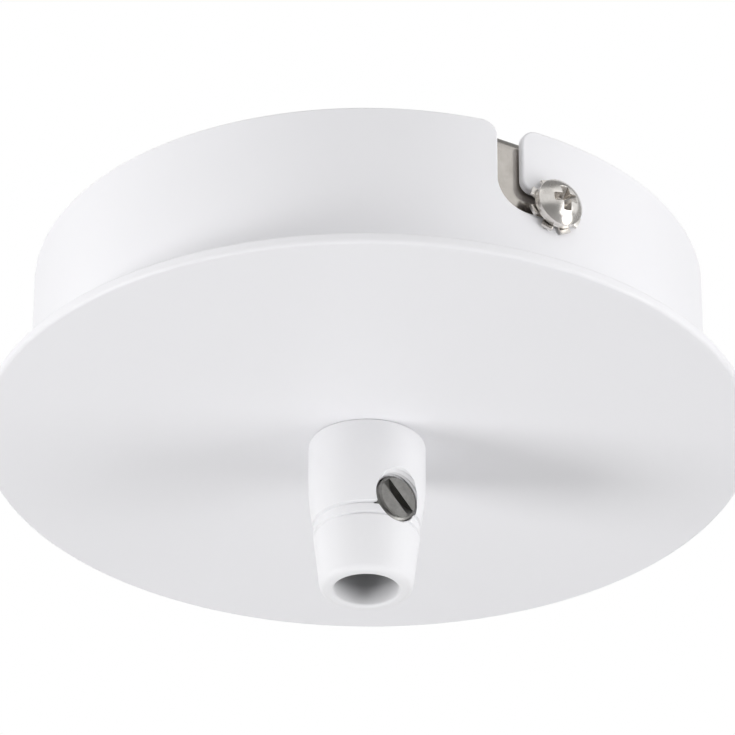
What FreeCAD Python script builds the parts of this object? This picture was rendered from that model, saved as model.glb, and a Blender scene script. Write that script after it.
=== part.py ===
import FreeCAD, Part
import math
import os

from FreeCAD import Placement, Rotation, Vector

# Ceiling rose for one pendant cord. Millimetres, +Z up, the ceiling is the plane Z = 0.
# The bracket runs along X, and the side screw that locks the canopy lies on +X.

# Ceiling bracket: a plated strap with both ends bent down
strap_thickness = 1.2
strap_width = 18.0
tab_width = 14.0
tab_wall_gap = 0.25
tab_height = 16.5
tab_corner_radius = 4.0
tab_shoulder = 4.0
bend_inner_radius = 1.8
ceiling_slot_spacing = 58.0
ceiling_slot_length = 8.0
ceiling_slot_width = 4.4
tapped_collar_height = 1.6
tapped_collar_wall = 0.9

# Canopy cup: a drawn drum, open to the ceiling
rim_gap = 0.05
cup_diameter = 88.0
cup_wall = 1.2
cup_depth = 22.2
cup_corner_radius = 1.8
cup_inner_corner_radius = 0.6
cup_rim_radius = 0.3

# Bayonet slots in the cup wall
slot_width = 3.35
slot_outer_corner = 4.3
slot_inner_corner = 1.6
slot_rim_corner_entry = 2.0
slot_rim_corner_run = 2.2
twist_angle = 7.8

# Cover disc
disc_diameter = 100.0
disc_thickness = 1.5
disc_lower_edge_radius = 0.5
disc_upper_edge_radius = 0.35

# Side screws, M3 pan head with a cross recess
side_screw_drop = 10.8
side_screw_diameter = 3.0
side_screw_stand_out = 0.75
side_head_diameter = 6.4
side_head_height = 2.5
side_head_edge_height = 1.0
side_screw_tip_chamfer = 0.4
side_recess_span = 4.0
side_recess_depth = 1.8
side_recess_wing_width = 1.1
side_recess_tip_radius = 0.7
side_recess_turn = 8.5

# External-tooth washers under the side screw heads
side_washer_thickness = 0.45
side_washer_ring_width = 0.85
side_washer_tooth_length = 1.25
side_washer_tooth_width = 1.5
side_washer_teeth = 8
side_washer_turn = 24.0
tooth_twist = 10.0
washer_seat_gap = 0.08
washer_head_gap = 0.04

# Threaded nipple, M10 x 1, and what is clamped on it
nipple_diameter = 10.0
nipple_bore = 7.4
nipple_end_chamfer = 0.4
nipple_stand_out = 0.6
nipple_grip_depth = 6.6
nut_across_flats = 14.0
nut_height = 3.0
nut_chamfer_angle = 30.0
nipple_washer_thickness = 0.7
nipple_washer_ring_width = 1.7
nipple_washer_tooth_length = 1.6
nipple_washer_tooth_width = 1.7
nipple_washer_teeth = 10
earth_tag_thickness = 0.8
earth_tag_ring_width = 2.6
earth_tag_blade_width = 4.8
earth_tag_blade_length = 6.0
earth_tag_neck = 5.0

# Cord grip: a moulded nozzle
grip_diameter = 15.2
grip_length = 21.0
grip_straight = 4.9
grip_shoulder_drop = 11.55
grip_shoulder_diameter = 13.95
grip_band_diameter = 13.7
grip_band_height = 1.6
grip_upper_groove_width = 0.5
grip_groove_width = 0.4
grip_groove_depth = 0.4
grip_mouth_diameter = 11.85
grip_top_edge = 0.25
grip_lip_radius = 0.95
grip_lip_inner_radius = 0.35
grip_bore = 8.4
grip_bore_length = 6.5
grip_chamber = 8.0
grip_turn = 5.0

# Grip screw: slotted grub screw
grip_screw_diameter = 6.25
grip_screw_length = 2.7
grip_screw_drop = 10.4
grip_screw_face_radius = 6.85
grip_screw_chamfer = 0.45
grip_screw_slot_width = 1.2
grip_screw_slot_depth = 1.2
grip_screw_slot_turn = -42.5
grip_countersink_diameter = 8.2
grip_countersink_depth = 1.2

# Terminal block: three poles in a row along X, wires enter along Y
pole_names = ["live", "neutral", "earth"]
pole_pitch = 9.5
housing_width = 17.0
housing_height = 8.2
housing_corner_radius = 1.2
housing_notch_width = 1.4
housing_notch_depth = 4.6
housing_web = 2.0
tower_height = 4.2
tower_wall = 1.3
sleeve_drop = 4.2
sleeve_bore = 3.8
sleeve_wall = 0.7
sleeve_length = 15.0
clamp_screw_diameter = 2.5
clamp_screw_length = 5.6
clamp_screw_spacing = 8.8
clamp_screw_slot_width = 0.5
clamp_screw_slot_depth = 0.9
clamp_screw_room = 0.25
clamp_screw_tip_gap = 0.1
clamp_screw_chamfer = 0.3
fixing_screw_diameter = 3.0
fixing_head_diameter = 5.5
fixing_head_height = 2.0
fixing_slot_width = 0.8
fixing_slot_depth = 1.0
fixing_hole_room = 0.15

# Earth screw and washer on the strap
earth_screw_offset = 19.5
earth_screw_diameter = 4.0
earth_head_diameter = 7.0
earth_head_height = 2.5
earth_slot_width = 1.2
earth_slot_depth = 1.2
earth_washer_diameter = 8.0
earth_washer_thickness = 0.8
earth_washer_lip = 0.6

# Clearances
thread_gap = 0.05
fit_gap = 0.1
screw_end_gap = 0.2
overcut = 1.0
match_tolerance = 1e-4

# Levels and places that follow from the sizes above
rim_z = -rim_gap
cup_radius = cup_diameter / 2
tab_corner_reach = cup_radius - cup_wall - tab_wall_gap
tab_face_radius = math.sqrt(tab_corner_reach**2 - (tab_width / 2)**2)
tab_inside = tab_face_radius - strap_thickness
floor_z = rim_z - cup_depth
floor_top_z = floor_z + cup_wall
disc_z = floor_z - disc_thickness
strap_under_z = -strap_thickness
side_screw_z = -side_screw_drop
nipple_radius = nipple_diameter / 2
clamp_hole_radius = nipple_radius + fit_gap
housing_z = strap_under_z - housing_height
sleeve_z = strap_under_z - sleeve_drop
sleeve_radius = sleeve_bore / 2 + sleeve_wall

X_AXIS = Vector(1, 0, 0)
Y_AXIS = Vector(0, 1, 0)
Z_AXIS = Vector(0, 0, 1)
ORIGIN = Vector(0, 0, 0)


def line(a, b):
    """Straight edge between two points."""
    return Part.LineSegment(a, b).toShape()


def arc(a, middle, b):
    """Circular edge through three points."""
    return Part.Arc(a, middle, b).toShape()


def corner_arc(a, corner, b):
    """Quarter-circle edge from a to b that rounds a square corner."""
    centre = a + b - corner
    middle = centre + (corner - centre).normalize() * (a - centre).Length
    return arc(a, middle, b)


def face_of(edges):
    """Flat face inside a closed ring of edges."""
    return Part.Face(Part.Wire(edges))


def revolved(edges):
    """Solid turned about Z from a closed profile in the XZ plane."""
    return face_of(edges).revolve(ORIGIN, Z_AXIS, 360)


def ring_path(points):
    """Closed ring of straight edges through the points."""
    return [line(a, b) for a, b in zip(points, points[1:] + points[:1])]


def upright(radius, z_low, z_high, x=0.0, y=0.0):
    """Vertical cylinder between two levels."""
    return Part.makeCylinder(radius, z_high - z_low, Vector(x, y, z_low), Z_AXIS)


def tube(inner_radius, outer_radius, z_low, z_high):
    """Vertical tube between two levels."""
    core = upright(inner_radius, z_low - overcut, z_high + overcut)
    return upright(outer_radius, z_low, z_high).cut(core)


def block(size_x, size_y, z_low, z_high, x=0.0, y=0.0):
    """Box centred at x, y between two levels."""
    corner = Vector(x - size_x / 2, y - size_y / 2, z_low)
    return Part.makeBox(size_x, size_y, z_high - z_low, corner)


def slot_hole(length, width, z_low, z_high, x):
    """Upright slot along X with round ends; length is over the ends."""
    reach = (length - width) / 2
    body = block(length - width, width, z_low, z_high, x)
    for side in (-1, 1):
        body = body.fuse(upright(width / 2, z_low, z_high, x + side * reach))
    return body


def ring_edges(shape, radius, z):
    """Circular edges of the given radius at the given level."""
    found = []
    for edge in shape.Edges:
        curve = edge.Curve
        if isinstance(curve, Part.Circle) and abs(curve.Radius - radius) < match_tolerance:
            if abs(curve.Center.z - z) < match_tolerance:
                found.append(edge)
    return found


def upright_edges(shape):
    """Straight edges that run along Z."""
    found = []
    for edge in shape.Edges:
        if isinstance(edge.Curve, Part.Line) and 1 - abs(edge.tangentAt(0).z) < match_tolerance:
            found.append(edge)
    return found


def facing_out(shape, radial, z, turn=0.0):
    """Moves a shape made along Z so that its Z axis points away from the rose's axis."""
    lay = Placement(Vector(radial, 0, z), Rotation(Y_AXIS, 90))
    spin = Placement(ORIGIN, Rotation(Z_AXIS, turn))
    moved = shape.copy()
    moved.Placement = spin.multiply(lay)
    return moved


def tooth_washer(bore_radius, ring_width, tooth_length, tooth_width, thickness, teeth):
    """Lock washer with twisted outer teeth, centred on the origin with its axis along Z."""
    ring_radius = bore_radius + ring_width
    washer = tube(bore_radius, ring_radius, -thickness / 2, thickness / 2)
    root = ring_radius - ring_width / 2
    reach = ring_radius + tooth_length - root
    for index in range(teeth):
        tooth = Part.makeBox(reach, tooth_width, thickness, Vector(root, -tooth_width / 2, -thickness / 2))
        tooth.rotate(ORIGIN, X_AXIS, tooth_twist)
        tooth.rotate(ORIGIN, Z_AXIS, index * 360 / teeth)
        washer = washer.fuse(tooth)
    return washer.removeSplitter()


def tooth_washer_height(tooth_width, thickness):
    """Height over the edges of the twisted teeth."""
    twist = math.radians(tooth_twist)
    return tooth_width * math.sin(twist) + thickness * math.cos(twist)


def cross_recess(span, wing, tip_radius, depth, z_top):
    """Four tapered wings cut into a screw head from above."""
    low = z_top - depth
    cone = Part.makeCone(tip_radius, span / 2, depth, Vector(0, 0, low), Z_AXIS)
    wings = block(span, wing, low, z_top).fuse(block(wing, span, low, z_top))
    return wings.common(cone)


def pan_screw(shank_radius, shank_length, tip, head_radius, edge_height, head_height):
    """Pan-head screw blank: head above Z = 0, shank below."""
    rise = head_height - edge_height
    dome_radius = (head_radius**2 + rise**2) / (2 * rise)
    half = head_radius / 2
    half_height = head_height - dome_radius + math.sqrt(dome_radius**2 - half**2)
    edges = [
        line(Vector(0, 0, -shank_length), Vector(shank_radius - tip, 0, -shank_length)),
        line(Vector(shank_radius - tip, 0, -shank_length), Vector(shank_radius, 0, -shank_length + tip)),
        line(Vector(shank_radius, 0, -shank_length + tip), Vector(shank_radius, 0, 0)),
        line(Vector(shank_radius, 0, 0), Vector(head_radius, 0, 0)),
        line(Vector(head_radius, 0, 0), Vector(head_radius, 0, edge_height)),
        arc(Vector(head_radius, 0, edge_height), Vector(half, 0, half_height), Vector(0, 0, head_height)),
        line(Vector(0, 0, head_height), Vector(0, 0, -shank_length)),
    ]
    return revolved(edges)


def slotted_screw(shank_radius, shank_length, head_radius, head_height, slot_width, slot_depth):
    """Cheese-head screw with a straight slot: head above Z = 0, shank below."""
    screw = upright(head_radius, 0, head_height).fuse(upright(shank_radius, -shank_length, 0))
    slot = block(2 * (head_radius + overcut), slot_width, head_height - slot_depth, head_height + overcut)
    return screw.cut(slot).removeSplitter()


def pointing_down(shape, x, y, z):
    """Turns a screw over so that its head hangs below the given level."""
    moved = shape.copy()
    moved.Placement = Placement(Vector(x, y, z), Rotation(X_AXIS, 180))
    return moved


# Ceiling bracket

def strap_section():
    """Side view of the bent strap in the XZ plane, extruded along its width."""
    outer_bend = bend_inner_radius + strap_thickness
    foot = -tab_height
    bend = math.sqrt(0.5)
    edges = []
    for side in (1, -1):
        outer_centre = Vector(side * (tab_face_radius - outer_bend), 0, -outer_bend)
        inner_centre = Vector(side * (tab_inside - bend_inner_radius), 0, -outer_bend)
        outer_top = outer_centre + Vector(0, 0, outer_bend)
        outer_side = outer_centre + Vector(side * outer_bend, 0, 0)
        outer_middle = outer_centre + Vector(side * outer_bend * bend, 0, outer_bend * bend)
        inner_top = inner_centre + Vector(0, 0, bend_inner_radius)
        inner_side = inner_centre + Vector(side * bend_inner_radius, 0, 0)
        inner_middle = inner_centre + Vector(side * bend_inner_radius * bend, 0, bend_inner_radius * bend)
        edges += [
            line(Vector(0, 0, 0), outer_top),
            arc(outer_top, outer_middle, outer_side),
            line(outer_side, Vector(side * tab_face_radius, 0, foot)),
            line(Vector(side * tab_face_radius, 0, foot), Vector(side * tab_inside, 0, foot)),
            line(Vector(side * tab_inside, 0, foot), inner_side),
            arc(inner_side, inner_middle, inner_top),
            line(inner_top, Vector(0, 0, strap_under_z)),
        ]
    return face_of(Part.__sortEdges__(edges))


def ceiling_bracket():
    strap = strap_section()
    strap.translate(Vector(0, -strap_width / 2, 0))
    strap = strap.extrude(Vector(0, strap_width, 0))
    # the tabs are rounded off by an outline that runs the length of the strap, which is wider between them
    half = tab_width / 2
    low = -tab_height
    r = tab_corner_radius
    outline = [
        line(Vector(0, -half, overcut), Vector(0, half, overcut)),
        line(Vector(0, half, overcut), Vector(0, half, low + r)),
        corner_arc(Vector(0, half, low + r), Vector(0, half, low), Vector(0, half - r, low)),
        line(Vector(0, half - r, low), Vector(0, r - half, low)),
        corner_arc(Vector(0, r - half, low), Vector(0, -half, low), Vector(0, -half, low + r)),
        line(Vector(0, -half, low + r), Vector(0, -half, overcut)),
    ]
    rounding = face_of(outline)
    rounding.translate(Vector(-tab_face_radius - overcut, 0, 0))
    tabs = rounding.extrude(Vector(2 * (tab_face_radius + overcut), 0, 0))
    shoulders = 2 * (tab_face_radius - tab_shoulder)
    strap = strap.common(tabs.fuse(block(shoulders, strap_width, strap_under_z, overcut)))
    # drawn collars give the side screws and the earth screw enough thread
    side_hole = side_screw_diameter / 2 + thread_gap
    collar = upright(side_hole + tapped_collar_wall, -tapped_collar_height, 0)
    bore = upright(side_hole, -tapped_collar_height - overcut, strap_thickness + overcut)
    for turn in (0, 180):
        strap = strap.fuse(facing_out(collar, tab_inside, side_screw_z, turn))
        strap = strap.cut(facing_out(bore, tab_inside, side_screw_z, turn))
    earth_hole = earth_screw_diameter / 2 + thread_gap
    collar_z = strap_under_z - tapped_collar_height
    strap = strap.fuse(upright(earth_hole + tapped_collar_wall, collar_z, strap_under_z, -earth_screw_offset))
    strap = strap.cut(upright(earth_hole, collar_z - overcut, overcut, -earth_screw_offset))
    fixing_hole = fixing_screw_diameter / 2 + thread_gap
    below = strap_under_z - overcut
    for side in (-1, 1):
        x = side * ceiling_slot_spacing / 2
        strap = strap.cut(slot_hole(ceiling_slot_length, ceiling_slot_width, below, overcut, x))
        strap = strap.cut(upright(fixing_hole, below, overcut, side * pole_pitch / 2))
    return strap.removeSplitter()


# Terminal block

def pole_x(index):
    """Place of a pole along the row."""
    return (index - (len(pole_names) - 1) / 2) * pole_pitch


def clamp_screw_places():
    """Name, x and y of each clamp screw: a supply side and a flex side on every pole."""
    places = []
    for index, pole in enumerate(pole_names):
        for label, side in (("supply", 1), ("flex", -1)):
            places.append((pole + "_" + label, pole_x(index), side * clamp_screw_spacing / 2))
    return places


def terminal_housing():
    length = len(pole_names) * pole_pitch
    housing = block(length, housing_width, housing_z, strap_under_z)
    housing = housing.makeFillet(housing_corner_radius, upright_edges(housing))
    tower_room = clamp_screw_diameter / 2 + clamp_screw_room
    tower_z = housing_z - tower_height
    for label, x, y in clamp_screw_places():
        housing = housing.fuse(upright(tower_room + tower_wall, tower_z, housing_z, x, y))
    for index in range(len(pole_names) - 1):
        x = (pole_x(index) + pole_x(index + 1)) / 2
        for side in (-1, 1):
            y = side * (housing_width - housing_notch_depth) / 2
            deep = housing_notch_depth + overcut
            notch_y = y + side * overcut / 2
            notch_top = strap_under_z - housing_web
            housing = housing.cut(
                block(housing_notch_width, deep, housing_z - overcut, notch_top, x, notch_y)
            )
    for side in (-1, 1):
        fixing_room = fixing_screw_diameter / 2 + fixing_hole_room
        housing = housing.cut(upright(fixing_room, housing_z - overcut, overcut, side * pole_pitch / 2))
    for index in range(len(pole_names)):
        start = Vector(pole_x(index), -housing_width / 2 - overcut, sleeve_z)
        seat_length = housing_width + 2 * overcut
        housing = housing.cut(Part.makeCylinder(sleeve_radius + thread_gap, seat_length, start, Y_AXIS))
    for label, x, y in clamp_screw_places():
        housing = housing.cut(upright(tower_room, tower_z - overcut, sleeve_z, x, y))
    return housing.removeSplitter()


def terminal_sleeve(index):
    start = Vector(pole_x(index), -sleeve_length / 2, sleeve_z)
    sleeve = Part.makeCylinder(sleeve_radius, sleeve_length, start, Y_AXIS)
    sleeve = sleeve.cut(Part.makeCylinder(sleeve_bore / 2, sleeve_length, start, Y_AXIS))
    for side in (-1, 1):
        hole = clamp_screw_diameter / 2 + thread_gap
        low = sleeve_z - sleeve_radius - overcut
        sleeve = sleeve.cut(upright(hole, low, sleeve_z, pole_x(index), side * clamp_screw_spacing / 2))
    return sleeve


def clamp_screw(x, y):
    """Headless slotted screw, backed off so that its tip just clears the wire way."""
    tip_z = sleeve_z - sleeve_bore / 2 - clamp_screw_tip_gap
    radius = clamp_screw_diameter / 2
    screw = upright(radius, tip_z - clamp_screw_length, tip_z, x, y)
    screw = screw.makeChamfer(clamp_screw_chamfer, ring_edges(screw, radius, tip_z))
    slot_low = tip_z - clamp_screw_length - overcut
    slot_high = tip_z - clamp_screw_length + clamp_screw_slot_depth
    return screw.cut(block(2 * (radius + overcut), clamp_screw_slot_width, slot_low, slot_high, x, y))


def fixing_screw(side):
    shank = -housing_z - screw_end_gap
    screw = slotted_screw(
        fixing_screw_diameter / 2, shank, fixing_head_diameter / 2,
        fixing_head_height, fixing_slot_width, fixing_slot_depth,
    )
    return pointing_down(screw, side * pole_pitch / 2, 0, housing_z)


# Earth terminal on the strap

def earth_washer():
    """Cupped washer whose turned-down rim holds the wire under the screw head."""
    seat_z = strap_under_z - tapped_collar_height
    radius = earth_washer_diameter / 2
    hole = earth_screw_diameter / 2 + fit_gap
    washer = tube(hole, radius, seat_z - earth_washer_thickness, seat_z)
    lip = tube(radius - earth_washer_thickness, radius, seat_z, seat_z + earth_washer_lip)
    washer = washer.fuse(lip).removeSplitter()
    washer.translate(Vector(-earth_screw_offset, 0, 0))
    return washer


def earth_screw():
    seat_z = strap_under_z - tapped_collar_height - earth_washer_thickness
    screw = slotted_screw(
        earth_screw_diameter / 2, -seat_z - screw_end_gap, earth_head_diameter / 2,
        earth_head_height, earth_slot_width, earth_slot_depth,
    )
    return pointing_down(screw, -earth_screw_offset, 0, seat_z)


# Canopy

def bayonet_slot():
    """Cutter for one J slot: down from the rim, then along the wall to the side screw.

    The outline is drawn on the plane square to the middle of the twist, with U along the
    wall, and is pushed outward through the wall."""
    half = slot_width / 2
    shift = cup_radius * math.sin(math.radians(twist_angle / 2))
    entry_left = -shift - half
    entry_right = -shift + half
    run_top = side_screw_z + half
    run_low = side_screw_z - half

    def at(u, z):
        return Vector(0, u, z)

    left_top = at(entry_left - slot_rim_corner_entry, rim_z)
    left_down = at(entry_left, rim_z - slot_rim_corner_entry)
    right_top = at(entry_right + slot_rim_corner_run, rim_z)
    right_down = at(entry_right, rim_z - slot_rim_corner_run)
    bend_start = at(entry_left, run_low + slot_outer_corner)
    bend_end = at(entry_left + slot_outer_corner, run_low)
    heel_start = at(entry_right + slot_inner_corner, run_top)
    heel_end = at(entry_right, run_top + slot_inner_corner)
    above = Vector(0, 0, overcut)
    edges = [
        line(left_top + above, left_top),
        corner_arc(left_top, at(entry_left, rim_z), left_down),
        line(left_down, bend_start),
        corner_arc(bend_start, at(entry_left, run_low), bend_end),
        line(bend_end, at(shift, run_low)),
        arc(at(shift, run_low), at(shift + half, side_screw_z), at(shift, run_top)),
        line(at(shift, run_top), heel_start),
        corner_arc(heel_start, at(entry_right, run_top), heel_end),
        line(heel_end, right_down),
        corner_arc(right_down, at(entry_right, rim_z), right_top),
        line(right_top, right_top + above),
        line(right_top + above, left_top + above),
    ]
    cutter = face_of(edges).extrude(Vector(cup_radius + overcut, 0, 0))
    cutter.rotate(ORIGIN, Z_AXIS, -twist_angle / 2)
    return cutter


def canopy_cup():
    cup = upright(cup_radius, floor_z, rim_z)
    cup = cup.makeFillet(cup_corner_radius, ring_edges(cup, cup_radius, floor_z))
    room = upright(cup_radius - cup_wall, floor_top_z, rim_z + overcut)
    room = room.makeFillet(cup_inner_corner_radius, ring_edges(room, cup_radius - cup_wall, floor_top_z))
    cup = cup.cut(room)
    rim = ring_edges(cup, cup_radius, rim_z) + ring_edges(cup, cup_radius - cup_wall, rim_z)
    cup = cup.makeFillet(cup_rim_radius, rim)
    cup = cup.cut(upright(clamp_hole_radius, floor_z - overcut, floor_top_z + overcut))
    slot = bayonet_slot()
    for turn in (0, 180):
        cutter = slot.copy()
        cutter.rotate(ORIGIN, Z_AXIS, turn)
        cup = cup.cut(cutter)
    return cup


def cover_disc():
    radius = disc_diameter / 2
    disc = upright(radius, disc_z, floor_z)
    disc = disc.makeFillet(disc_lower_edge_radius, ring_edges(disc, radius, disc_z))
    disc = disc.makeFillet(disc_upper_edge_radius, ring_edges(disc, radius, floor_z))
    return disc.cut(upright(clamp_hole_radius, disc_z - overcut, floor_z + overcut))


# Nipple and what it clamps

nipple_washer_height = tooth_washer_height(nipple_washer_tooth_width, nipple_washer_thickness)
tag_z = floor_top_z + nipple_washer_height
nut_z = tag_z + earth_tag_thickness
nipple_top_z = nut_z + nut_height + nipple_stand_out


def threaded_nipple():
    low = disc_z - nipple_grip_depth
    body = upright(nipple_radius, low, nipple_top_z)
    ends = ring_edges(body, nipple_radius, low) + ring_edges(body, nipple_radius, nipple_top_z)
    body = body.makeChamfer(nipple_end_chamfer, ends)
    return body.cut(upright(nipple_bore / 2, low - overcut, nipple_top_z + overcut))


def nipple_washer():
    washer = tooth_washer(
        clamp_hole_radius, nipple_washer_ring_width, nipple_washer_tooth_length,
        nipple_washer_tooth_width, nipple_washer_thickness, nipple_washer_teeth,
    )
    washer.translate(Vector(0, 0, floor_top_z + nipple_washer_height / 2))
    return washer


def earth_tag():
    """Solder tag under the nut: a ring with a neck and a blade bent up at right angles."""
    ring_radius = clamp_hole_radius + earth_tag_ring_width
    reach = ring_radius + earth_tag_neck
    tag = upright(ring_radius, tag_z, nut_z)
    tag = tag.fuse(block(reach, earth_tag_blade_width, tag_z, nut_z, reach / 2))
    blade_x = reach - earth_tag_thickness / 2
    blade_top = tag_z + earth_tag_blade_length
    tag = tag.fuse(block(earth_tag_thickness, earth_tag_blade_width, tag_z, blade_top, blade_x))
    return tag.cut(upright(clamp_hole_radius, tag_z - overcut, nut_z + overcut)).removeSplitter()


def nipple_nut():
    """Thin hexagon nut with both faces chamfered at the corners."""
    corner_radius = nut_across_flats / math.sqrt(3)
    corners = []
    for index in range(6):
        angle = math.radians(60 * index)
        corners.append(Vector(corner_radius * math.cos(angle), corner_radius * math.sin(angle), nut_z))
    nut = face_of(ring_path(corners)).extrude(Vector(0, 0, nut_height))
    flat_radius = nut_across_flats / 2
    drop = (corner_radius - flat_radius) * math.tan(math.radians(nut_chamfer_angle))
    top = nut_z + nut_height
    edges = ring_path([
        Vector(0, 0, nut_z),
        Vector(flat_radius, 0, nut_z),
        Vector(corner_radius, 0, nut_z + drop),
        Vector(corner_radius, 0, top - drop),
        Vector(flat_radius, 0, top),
        Vector(0, 0, top),
    ])
    nut = nut.common(revolved(edges))
    return nut.cut(upright(nipple_radius + thread_gap, nut_z - overcut, top + overcut))


# Cord grip

def grip_profile():
    """Half section of the nozzle: a barrel, a band between two grooves, then a cone to the mouth."""
    radius = grip_diameter / 2
    shoulder = grip_shoulder_diameter / 2
    band = grip_band_diameter / 2
    sag = radius - shoulder
    run = grip_shoulder_drop - grip_straight
    curve_radius = (run**2 + sag**2) / (2 * sag)
    half = run / 2
    half_sag = curve_radius - math.sqrt(curve_radius**2 - half**2)
    groove = grip_shoulder_drop + grip_band_height
    groove_middle = groove + grip_groove_width / 2
    groove_end = groove + grip_groove_width
    groove_radius = band - grip_groove_depth
    socket = nipple_radius + thread_gap
    chamber_low = grip_length - grip_bore_length
    socket_depth = nipple_grip_depth + screw_end_gap

    def at(r, depth):
        return Vector(r, 0, disc_z - depth)

    upper_middle = grip_shoulder_drop + grip_upper_groove_width / 2
    upper_end = grip_shoulder_drop + grip_upper_groove_width
    edges = [
        line(at(socket, 0), at(radius - grip_top_edge, 0)),
        line(at(radius - grip_top_edge, 0), at(radius, grip_top_edge)),
        line(at(radius, grip_top_edge), at(radius, grip_straight)),
        arc(
            at(radius, grip_straight),
            at(radius - half_sag, grip_straight + half),
            at(shoulder, grip_shoulder_drop),
        ),
        line(at(shoulder, grip_shoulder_drop), at(groove_radius, upper_middle)),
        line(at(groove_radius, upper_middle), at(band, upper_end)),
        line(at(band, upper_end), at(band, groove)),
        line(at(band, groove), at(groove_radius, groove_middle)),
        line(at(groove_radius, groove_middle), at(band, groove_end)),
        line(at(band, groove_end), at(grip_mouth_diameter / 2, grip_length)),
        line(at(grip_mouth_diameter / 2, grip_length), at(grip_bore / 2, grip_length)),
        line(at(grip_bore / 2, grip_length), at(grip_bore / 2, chamber_low)),
        line(at(grip_bore / 2, chamber_low), at(grip_chamber / 2, chamber_low)),
        line(at(grip_chamber / 2, chamber_low), at(grip_chamber / 2, socket_depth)),
        line(at(grip_chamber / 2, socket_depth), at(socket, socket_depth)),
        line(at(socket, socket_depth), at(socket, 0)),
    ]
    return edges


def cord_grip():
    grip = revolved(grip_profile())
    mouth_z = disc_z - grip_length
    grip = grip.makeFillet(grip_lip_radius, ring_edges(grip, grip_mouth_diameter / 2, mouth_z))
    grip = grip.makeFillet(grip_lip_inner_radius, ring_edges(grip, grip_bore / 2, mouth_z))
    screw_z = disc_z - grip_screw_drop
    hole_radius = grip_screw_diameter / 2 + thread_gap
    hole = upright(hole_radius, 0, grip_diameter)
    sink_start = grip_diameter / 2 - grip_countersink_depth
    sink_radius = grip_countersink_diameter / 2
    sink = Part.makeCone(hole_radius, sink_radius, grip_countersink_depth, Vector(0, 0, sink_start), Z_AXIS)
    mouth = upright(sink_radius, sink_start + grip_countersink_depth, grip_diameter)
    return grip.cut(facing_out(hole.fuse(sink).fuse(mouth), 0, screw_z, grip_turn))


def grip_screw():
    """Grub screw in the side of the grip, its slotted face outward."""
    radius = grip_screw_diameter / 2
    screw = upright(radius, -grip_screw_length, 0)
    ends = ring_edges(screw, radius, 0) + ring_edges(screw, radius, -grip_screw_length)
    screw = screw.makeChamfer(grip_screw_chamfer, ends)
    slot = block(2 * (radius + overcut), grip_screw_slot_width, -grip_screw_slot_depth, overcut)
    # seen from outside, the slot leans from the line along the wall
    slot.rotate(ORIGIN, Z_AXIS, 90 + grip_screw_slot_turn)
    screw = screw.cut(slot)
    return facing_out(screw, grip_screw_face_radius, disc_z - grip_screw_drop, grip_turn)


# Side screws that lock the canopy to the bracket

side_washer_height = tooth_washer_height(side_washer_tooth_width, side_washer_thickness)
side_washer_radial = cup_radius + washer_seat_gap + side_washer_height / 2
side_head_radial = side_washer_radial + side_washer_height / 2 + washer_head_gap
side_screw_tip = tab_inside - tapped_collar_height - side_screw_stand_out
side_screw_length = side_head_radial - side_screw_tip


def side_washer(turn):
    washer = tooth_washer(
        side_screw_diameter / 2 + fit_gap, side_washer_ring_width, side_washer_tooth_length,
        side_washer_tooth_width, side_washer_thickness, side_washer_teeth,
    )
    washer.rotate(ORIGIN, Z_AXIS, side_washer_turn)
    return facing_out(washer, side_washer_radial, side_screw_z, turn)


def side_screw(turn):
    screw = pan_screw(
        side_screw_diameter / 2, side_screw_length, side_screw_tip_chamfer,
        side_head_diameter / 2, side_head_edge_height, side_head_height,
    )
    recess = cross_recess(
        side_recess_span, side_recess_wing_width, side_recess_tip_radius,
        side_recess_depth, side_head_height,
    )
    recess.rotate(ORIGIN, Z_AXIS, side_recess_turn)
    return facing_out(screw.cut(recess), side_head_radial, side_screw_z, turn)


# Every node, under the name it is kept by

pieces = {
    "ceiling_bracket": ceiling_bracket(),
    "terminal_housing": terminal_housing(),
    "earth_washer": earth_washer(),
    "earth_screw": earth_screw(),
    "canopy_cup": canopy_cup(),
    "cover_disc": cover_disc(),
    "threaded_nipple": threaded_nipple(),
    "nipple_washer": nipple_washer(),
    "earth_tag": earth_tag(),
    "nipple_nut": nipple_nut(),
    "cord_grip": cord_grip(),
    "grip_screw": grip_screw(),
}
for index, pole in enumerate(pole_names):
    pieces["terminal_sleeve_" + pole] = terminal_sleeve(index)
for label, x, y in clamp_screw_places():
    pieces["clamp_screw_" + label] = clamp_screw(x, y)
for label, side, turn in (("right", 1, 0), ("left", -1, 180)):
    pieces["fixing_screw_" + label] = fixing_screw(side)
    pieces["side_washer_" + label] = side_washer(turn)
    pieces["side_screw_" + label] = side_screw(turn)

os.makedirs("parts", exist_ok=True)
for name, shape in pieces.items():
    shape.exportStep(os.path.join("parts", name + ".step"))
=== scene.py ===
import math

import bmesh
import bpy
from mathutils import Matrix, Vector
from mathutils.geometry import delaunay_2d_cdt


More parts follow.
